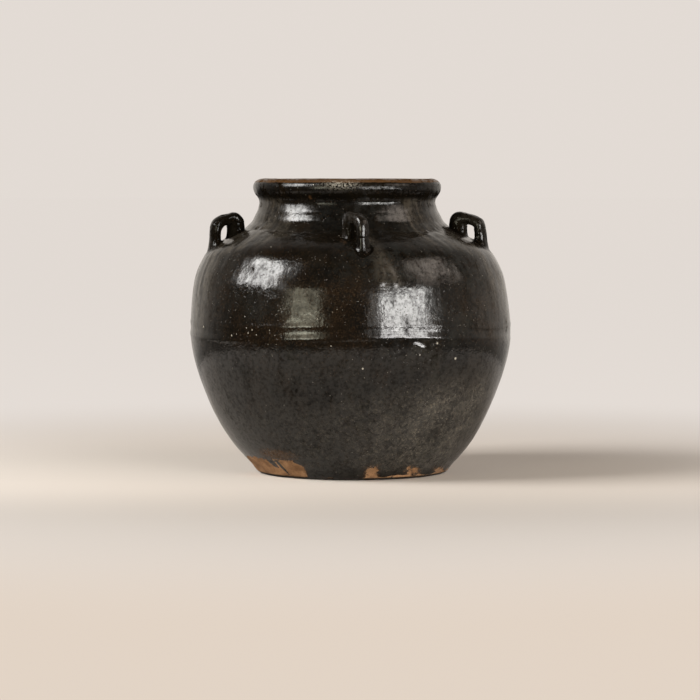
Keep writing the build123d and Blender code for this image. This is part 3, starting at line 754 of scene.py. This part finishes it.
pieces = [
    wall_piece("base_slab_finish", "base_slab",
               [("start", "slab_out"), (88.0, 6.0), ("slab_in", "end")]),
    wall_piece("lower_body_finish", "lower_body",
               [("slab_out", "seam_out"), (160.3, 135.0), (160.3, 143.0), ("seam_in", "slab_in"), (88.0, 6.0)]),
    wall_piece("upper_body_finish", "upper_body",
               [("seam_out", "shoulder_out"), (97.0, 250.0), ("shoulder_in", "seam_in"), (160.3, 143.0), (160.3, 135.0)]),
    wall_piece("neck_finish", "neck",
               [("shoulder_out", "lip_out"), (86.5, 279.5), (86.5, 289.0), ("neck_in", "shoulder_in"), (97.0, 250.0)]),
    wall_piece("lip_finish", "lip",
               [("lip_out", "neck_in"), (86.5, 289.0), (86.5, 279.5)]),
]

# ------------------------------------------------------------------ lugs

upper = slice(row_of["seam_out"], row_of["lip_out"] + 1)
GRID, GRID_N = SKIN[upper], NORMAL[upper]


def on_shoulder(points):
    """The jar's outside straight above or below each point, as (heights, normals)."""
    points = np.asarray(points, float).reshape(-1, 3)
    heights, normals = np.empty(len(points)), np.empty((len(points), 3))
    for i, (x, y, z) in enumerate(points):
        h = z
        for _ in range(3):
            off = shift(h)
            angle = math.atan2(x - off, -y)
            radius = math.hypot(x - off, y)
            f = (angle + math.pi) / (2 * math.pi) * COLS
            j = int(math.floor(f)) % COLS
            f -= math.floor(f)
            j2 = (j + 1) % COLS
            a = GRID[:, j] * (1 - f) + GRID[:, j2] * f
            rad = np.hypot(a[:, 0] - shift(a[:, 2]), a[:, 1])
            top = int(np.argmin(rad))
            rad = np.minimum.accumulate(rad[:top + 1])[::-1]
            h = float(np.interp(radius, rad, a[:top + 1, 2][::-1]))
        heights[i] = h
        r = float(np.interp(radius, rad, np.arange(top + 1)[::-1]))
        r0 = min(int(r), len(GRID) - 2)
        n = GRID_N[r0, j] * (1 - (r - r0)) + GRID_N[r0 + 1, j] * (r - r0)
        normals[i] = n / np.linalg.norm(n)
    return heights, normals


# The strap's middle from near the neck, up and over the eye and down again: radius,
# height, the way it runs (radius, height), thickness, share of its width.
strap = [
    (114.8, 237.0, 0.0, 1.0, 15.8, 1.16), (114.8, 246.0, 0.0, 1.0, 15.6, 1.08), (114.9, 252.5, 0.05, 1.0, 15.8, 1.03),
    (115.8, 257.4, 0.5, 0.87, 16.6, 1.0), (118.6, 260.2, 0.82, 0.57, 15.6, 1.0), (123.2, 260.1, 1.0, 0.08, 12.2, 1.0),
    (129.6, 258.7, 1.0, -0.3, 11.0, 1.0), (135.1, 255.0, 0.71, -0.71, 11.8, 1.0), (137.2, 248.8, 0.12, -1.0, 11.4, 1.0),
    (137.8, 241.5, 0.08, -1.0, 11.4, 1.01), (138.8, 233.5, 0.16, -1.0, 12.0, 1.08), (140.4, 225.5, 0.2, -1.0, 12.6, 1.15),
    (141.4, 218.5, 0.08, -1.0, 12.8, 1.18),
]


def strap_path(rows, step=0.5):
    """The stations of a strap joined smoothly, as close stations evenly spaced."""
    p = np.array(rows, float)
    p[:, 2:4] /= np.hypot(p[:, 2], p[:, 3])[:, None]
    t = np.r_[0, np.cumsum(np.hypot(*np.diff(p[:, :2], axis=0).T))]
    m = np.gradient(p, t, axis=0)
    out = []
    for i in range(len(p) - 1):
        h = t[i + 1] - t[i]
        u = np.linspace(0, 1, 16, endpoint=False)[:, None]
        out.append((2 * u**3 - 3 * u**2 + 1) * p[i] + (u**3 - 2 * u**2 + u) * h * m[i]
                   + (-2 * u**3 + 3 * u**2) * p[i + 1] + (u**3 - u**2) * h * m[i + 1])
    out = np.vstack(out + [p[-1:]])
    s = np.r_[0, np.cumsum(np.hypot(*np.diff(out[:, :2], axis=0).T))]
    even = np.linspace(0, s[-1], int(s[-1] / step) + 1)
    out = np.stack([np.interp(even, s, out[:, c]) for c in range(6)], -1)
    out[:, 2:4] /= np.hypot(out[:, 2], out[:, 3])[:, None]
    return even, out


def lug(name, node, at, turn_by, wide, seed, adjust=(), spread=4.6, square_power=2.4, film=(0.2, 0.2), tip=0.0, dark_and_painted_shade_by=(0.0, 0.0)):
    """One lug. adjust changes stations of its strap: (station, radius, height, thickness) to add. spread is how far its
    feet are smeared out, tip how much it leans to the front, and the last argument how dark and dull its glaze is all
    over, and how much painted shade darkens it towards the eye.
    """
    around = 56
    out = np.array([math.sin(math.radians(at)), -math.cos(math.radians(at)), 0.0])
    al = np.array([math.sin(math.radians(at + turn_by)), -math.cos(math.radians(at + turn_by)), 0.0])
    up = np.array([0, 0, 1.0])
    side_dir = np.cross(up, al)
    own = [list(row) for row in strap]
    for station, radius, height, more in adjust:
        own[station][0] += radius
        own[station][1] += height
        own[station][4] += more
    s, path = strap_path(own)
    thick, share = path[:, 4], path[:, 5]
    centre = out * 128 + (path[:, :1] - 128) * al + path[:, 1:2] * up
    centre[:, 0] += shift(path[:, 1])
    runs = path[:, 2:3] * al + path[:, 3:4] * up
    heights, _ = on_shoulder(centre[::2])
    above = centre[::2, 2] - heights
    half = len(above) // 2
    a = int(np.flatnonzero(above[:half] > 4.5)[0]) * 2
    b = (half + int(np.flatnonzero(above[half:] > 8.2)[-1])) * 2
    stops = np.linspace(s[a], s[b], 54)
    c = np.stack([np.interp(stops, s, centre[:, i]) for i in range(3)], -1)
    th, wd = np.interp(stops, s, thick), np.interp(stops, s, share) * wide
    run = np.stack([np.interp(stops, s, runs[:, i]) for i in range(3)], -1)
    run /= np.linalg.norm(run, axis=1, keepdims=True)
    face = np.cross(run, side_dir)
    face /= np.linalg.norm(face, axis=1, keepdims=True)
    ang = np.linspace(0, 2 * math.pi, around, endpoint=False)
    ca, sa = np.cos(ang), np.sin(ang)
    ex = 2 / square_power
    cx, cy = np.sign(ca) * np.abs(ca) ** ex, np.sign(sa) * np.abs(sa) ** ex
    tube = c[:, None] + face[:, None] * (cx[None, :, None] * th[:, None, None] / 2) + side_dir * (cy[None, :, None] * wd[:, None, None] / 2)
    mid = c[:, None]
    away = tube - mid
    away /= np.linalg.norm(away, axis=-1, keepdims=True)
    tube[..., 1] -= tip * np.clip(tube[..., 2] - 237, 0, None)
    # finger-pressed, uneven
    tube = tube + away * (0.6 * noise(tube, 12, seed) + 0.36 * noise(tube, 5.5, seed + 1) + 0.1 * noise(tube, 2.8, seed + 7))[..., None]

    def foot_rings(first, into, spread):
        """Rings that flare out from the strap's end onto the shoulder, and the normals to give them."""
        p0 = first
        p1 = p0.copy()
        for _ in range(6):
            h, n = on_shoulder(p1)
            down = (p1[:, 2] - h) * n[:, 2]
            step = down / np.minimum((n * into).sum(1), -0.25)
            p1 = p1 - into * step[:, None] * 0.85
        h, n = on_shoulder(p1)
        p1[:, 2] = h
        mean = p1.mean(0)
        outward = p1 - mean
        outward -= n * (outward * n).sum(1, keepdims=True)
        outward /= np.linalg.norm(outward, axis=1, keepdims=True)
        flare = spread + 0.25 * spread * noise(p1, 14, seed + 2)
        # less towards the neck, which stands close behind
        flare = flare * (0.06 + 0.94 * smooth01(((p1 * out).sum(1) - 107) / 14))
        p2 = p1 + outward * flare[:, None]
        h, n2 = on_shoulder(p2)
        p2[:, 2] = h
        rings_, norms_ = [], []
        steps = 12
        for i in range(1, steps + 1):
            u = i / steps
            p = (1 - u) ** 2 * p0 + 2 * u * (1 - u) * p1 + u * u * p2
            if i == steps:
                p = p2 - n2 * 0.12
            rings_.append(p)
            norms_.append((smooth01((u - 0.45) / 0.5), n2))
        rings_.append(p1 - n * 3.0)
        norms_.append((0.0, n2))
        return rings_, norms_

    start, start_n = foot_rings(tube[0], -run[0], 0.62 * spread)
    stop, stop_n = foot_rings(tube[-1], run[-1], spread)
    all_rings = start[::-1] + list(tube) + stop
    weights = start_n[::-1] + [(0.0, None)] * len(tube) + stop_n
    pts = np.array(all_rings)
    along = np.gradient(pts, axis=0)
    across = np.roll(pts, -1, 1) - np.roll(pts, 1, 1)
    n = np.cross(across, along)
    n /= np.maximum(np.linalg.norm(n, axis=-1, keepdims=True), 1e-12)
    centre_ring = pts.mean(1, keepdims=True)
    if (n[len(pts) // 2] * (pts[len(pts) // 2] - centre_ring[len(pts) // 2])).sum() < 0:
        pts, n = pts[:, ::-1], -n[:, ::-1]
        weights = [(w_, None if m_ is None else m_[::-1]) for w_, m_ in weights]
    for i, (w_, m_) in enumerate(weights):
        if m_ is not None and w_ > 0:
            n[i] = n[i] * (1 - w_) + m_ * w_
            n[i] /= np.linalg.norm(n[i], axis=-1, keepdims=True)
    m = len(pts)
    cols = np.arange(around)
    nxt = (cols + 1) % around
    quads = np.concatenate([np.stack([r * around + cols, r * around + nxt, (r + 1) * around + nxt, (r + 1) * around + cols], -1) for r in range(m - 1)])
    corner = n.reshape(-1, 3)[quads].reshape(-1, 3)
    faces = quads.tolist() + [list(range(around))[::-1], list(range((m - 1) * around, m * around))]
    corner = np.vstack([corner, np.tile([0, 0, -1.0], (around, 1)), np.tile([0, 0, -1.0], (around, 1))])
    points = pts.reshape(-1, 3)
    # the glaze is thin inside the eye and, less, along the strap's edges
    square = np.abs(np.tile(np.abs(cy) * np.abs(cx), m)) * 2.2
    crown = np.repeat(np.clip(1 - np.abs(np.arange(m) - m / 2) / (m * 0.33), 0, 1), around)
    eye_side = np.tile(np.clip(-ca - 0.25, 0, 1), m)
    thin_ = np.clip(0.08 * square * crown + 0.42 * eye_side + 0.16 * noise(points, 9, seed + 4), 0, 0.8)
    zero = np.zeros(len(points))
    film_ = np.clip((film[0] * crown + film[1] * eye_side) * (1 + 0.7 * noise(points, 7, seed + 6)), 0, 1)
    # the last field: the lug's darker, duller glaze all over, and painted shade towards the eye
    return make_object(name, node, points, faces, None, corner, [0] * len(faces),
                       {"bare": zero, "thin": thin_, "wear": zero, "hollow": zero, "cloud": zero + 0.2, "salt": zero, "rim": zero + 0.2 + 0.4 * eye_side, "dark_and_painted_shade": zero + dark_and_painted_shade_by[0] + dark_and_painted_shade_by[1] * np.tile(np.clip(0.3 - ca, 0, 1), m), "flow": film_, "haze": zero, "low": zero})


pieces += [
    lug("lug_front_finish", "lug_front", 3.8, 29, 11.8, 101, ((3, 0, 1.4, 0.4), (4, 0.2, 2.2, 0.4), (5, 0.8, 2.6, 0.4), (6, 1.6, 2.6, 1.0), (7, 2.4, 2.2, 0.6), (8, 1.8, 0.6, 0), (9, 1.0, 0, 0), (10, 0.4, 0, 0)), 4.6, 2.6, (0.22, 0.15), 0.0, (0.10, 0.55)),
    lug("lug_right_finish", "lug_right", 82, -10, 17, 111, ((0, -1.2, 0, 2.2), (1, -1.4, 0, 2.6), (2, -1.5, 0, 2.8), (3, -1.6, 0.3, 2.4), (4, -1.0, 0.3, 1.2), (8, -0.8, 0, 0), (9, -0.8, 0, 0), (10, -0.6, 0, 0)), 5.4, 2.4, (0.35, 0.4), 0.0, (0.35, 0.25)),
    lug("lug_back_right_finish", "lug_back_right", 148, 13, 17, 121),
    lug("lug_back_left_finish", "lug_back_left", -146, -15, 17, 131),
    lug("lug_left_finish", "lug_left", -80, 12, 17.6, 141, ((0, 0.6, 0, 2.0), (1, 0.7, 0, 2.2), (2, 0.7, 0, 2.2), (3, 0.6, -0.3, 1.8), (4, 0.2, -0.5, 1.0), (5, 0, -0.5, 0.8), (8, 0.5, 0, -1.0), (9, 0.5, 0, -1.0)), 5.6, 2.15, (0.0, 1.0), 0.13, (0.40, 0.75)),
]

# ------------------------------------------------------------------ stage: floor, light, camera

BACKGROUND = (0.765, 0.708, 0.662)


def paper_material():
    """Warm paper near the jar, with painted light that makes it lighter there to the camera only, not in the jar's
    glaze; evenly pale further away.
    """
    m, t = material("paper")
    split = t.node("ShaderNodeSeparateXYZ")
    t.put(split.inputs[0], t.co)
    away = t.math("SQRT", t.math("ADD", t.math("MULTIPLY", split.outputs[0], split.outputs[0]), t.math("MULTIPLY", split.outputs[1], split.outputs[1])))
    far = t.ramp(away, 0.20, 1.0)
    b = t.node("ShaderNodeBsdfPrincipled")
    # painted light: the paper near and behind the jar is lighter to the camera only
    painted_light_near_jar = t.math("MULTIPLY", t.ramp(split.outputs[1], -0.44, -0.10), t.node("ShaderNodeLightPath").outputs["Is Camera Ray"])
    near = t.mix(painted_light_near_jar, (0.510, 0.466, 0.424), (0.715, 0.648, 0.585))
    t.put(b.inputs["Base Color"], t.mix(far, near, (0.03, 0.028, 0.026)))
    b.inputs["Roughness"].default_value = 0.95
    b.inputs["Specular IOR Level"].default_value = 0.1
    front = t.math("MULTIPLY", t.ramp(away, 0.35, 1.1), t.ramp(split.outputs[1], -0.9, 0.2, 1.0, 0.0))
    front = t.math("MULTIPLY", front, t.ramp(away, 1.5, 2.3, 1.0, 0.0))
    t.put(b.inputs["Emission Color"], t.mix(front, tuple(0.96 * v for v in BACKGROUND), (0.70, 0.60, 0.51)))
    t.put(b.inputs["Emission Strength"], far)
    t.put(t.node("ShaderNodeOutputMaterial").inputs["Surface"], b.outputs[0])
    return m


PAPER = paper_material()


def disc(name, radii):
    n = 96
    turns = [2 * math.pi * i / n for i in range(n)]
    pts = [(r * math.sin(a), -r * math.cos(a), -0.0003) for r in radii for a in turns]
    faces = []
    for r in range(len(radii) - 1):
        for c in range(n):
            d = (c + 1) % n
            faces.append((r * n + c, r * n + d, (r + 1) * n + d, (r + 1) * n + c))
    mesh = bpy.data.meshes.new(name)
    mesh.from_pydata(pts, [], faces)
    mesh.materials.append(PAPER)
    mesh.update()
    obj = bpy.data.objects.new(name, mesh)
    bpy.context.scene.collection.objects.link(obj)
    obj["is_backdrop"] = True
    return obj


# only the floor near the jar shows in its glaze
NEAR = 0.635
near_floor = disc("floor_near", (0.001, 0.1, 0.25, 0.45, NEAR))
far_floor = disc("floor_far", (NEAR, 1.0, 2.0, 4.0, 8.0, 16.0, 30.0))
far_floor.visible_glossy = False


def window(name, az, el, distance, width, height, radiance, colour=(1, 1, 1), roll=0.0, spread=180.0):
    """A rectangular light seen from the jar's middle at an azimuth and elevation, in degrees; radiance is how bright it looks."""
    light = bpy.data.lights.new(name, "AREA")
    light.shape = "RECTANGLE"
    light.size, light.size_y = width, height
    light.energy = radiance * math.pi * width * height
    light.color = colour
    light.spread = math.radians(spread)
    obj = bpy.data.objects.new(name, light)
    a, e = math.radians(az), math.radians(el)
    d = Vector((math.sin(a) * math.cos(e), -math.cos(a) * math.cos(e), math.sin(e)))
    obj.location = d * distance + Vector((0, 0, 0.18))
    obj.rotation_euler = (-d).to_track_quat("-Z", "Y").to_euler()
    obj.visible_camera = False
    bpy.context.scene.collection.objects.link(obj)
    return obj


D = 2.6
def span(deg):
    return 2 * D * math.tan(math.radians(deg / 2))


window("key_left", -72.5, 31, D, span(29), span(30), 13.8, (1.0, 0.985, 0.96))
window("key_left_side", -93.5, 31, D, span(13), span(34), 1.1, (1.0, 0.98, 0.95))
window("key_left_dim", -52, 31, D, span(12), span(34), 1.2, (1.0, 0.98, 0.95))
window("key_right", 39.2, 10.6, D, span(34), span(12.6), 13.2, (1.0, 0.985, 0.955))
window("key_right_sill", 41.5, -0.4, D, span(43), span(5.4), 19.0, (1.0, 0.985, 0.955))
window("right_surround", 38, 8.5, D + 0.3, span(56), span(26), 1.35, (1.0, 0.96, 0.90))
window("front_left_dim", -32.5, 9.5, D, span(22), span(16), 2.7, (1.0, 0.95, 0.72))
window("front_left_low", -34, 1.5, D + 0.05, span(20), span(8), 5.6, (1.0, 1.0, 0.80))
window("right_high", 71, 36, D, span(38), span(32), 1.1, (1.0, 0.86, 0.75))
window("right_high_core", 73, 37, D - 0.1, span(24), span(20), 1.5, (1.0, 0.86, 0.75))

world = bpy.data.worlds.new("room")
bpy.context.scene.world = world
world.use_nodes = True
world.node_tree.nodes.clear()
t = Tree(world.node_tree)
t.co = t.node("ShaderNodeTexCoord").outputs["Generated"]
split = t.node("ShaderNodeSeparateXYZ")
t.put(split.inputs[0], t.co)
x_, y_, z_ = split.outputs
behind = t.ramp(y_, 0.12, 0.92, 0.0, 0.66, "LINEAR")
rightward = t.math("MULTIPLY", t.ramp(x_, 0.80, 0.99, 0.0, 0.30), t.ramp(z_, 0.05, 0.65, 1.0, 0.1))
ground_ = t.ramp(z_, -0.30, -0.02, 0.15, 1.0)
level = t.math("ADD", t.math("ADD", behind, rightward), 0.038)
level = t.math("MULTIPLY", level, t.ramp(z_, 0.25, 0.95, 1.0, 0.45))
level = t.math("MULTIPLY", level, ground_)
dim = t.node("ShaderNodeBackground")
t.put(dim.inputs["Color"], (1.0, 0.925, 0.84, 1))
t.put(dim.inputs["Strength"], level)
pale = t.node("ShaderNodeBackground")
t.put(pale.inputs["Color"], (*BACKGROUND, 1))
t.put(pale.inputs["Strength"], 1.0)
which = t.node("ShaderNodeMixShader")
t.put(which.inputs[0], t.node("ShaderNodeLightPath").outputs["Is Camera Ray"])
t.put(which.inputs[1], dim.outputs[0])
t.put(which.inputs[2], pale.outputs[0])
t.put(t.node("ShaderNodeOutputWorld").inputs[0], which.outputs[0])

cam = bpy.data.cameras.new("camera")
cam.lens = 154.5
cam.sensor_width = 36.0
cam.clip_start, cam.clip_end = 0.1, 100
camera = bpy.data.objects.new("camera", cam)
camera.location = (-0.002, -3.090, 0.310)
camera.rotation_euler = (math.radians(90 - 3.43), 0, 0)
bpy.context.scene.collection.objects.link(camera)
bpy.context.scene.camera = camera

scene = bpy.context.scene
scene.view_settings.view_transform = "Standard"
scene.view_settings.look = "None"
scene.cycles.use_denoising = True
scene.cycles.max_bounces = 6

low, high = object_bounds()
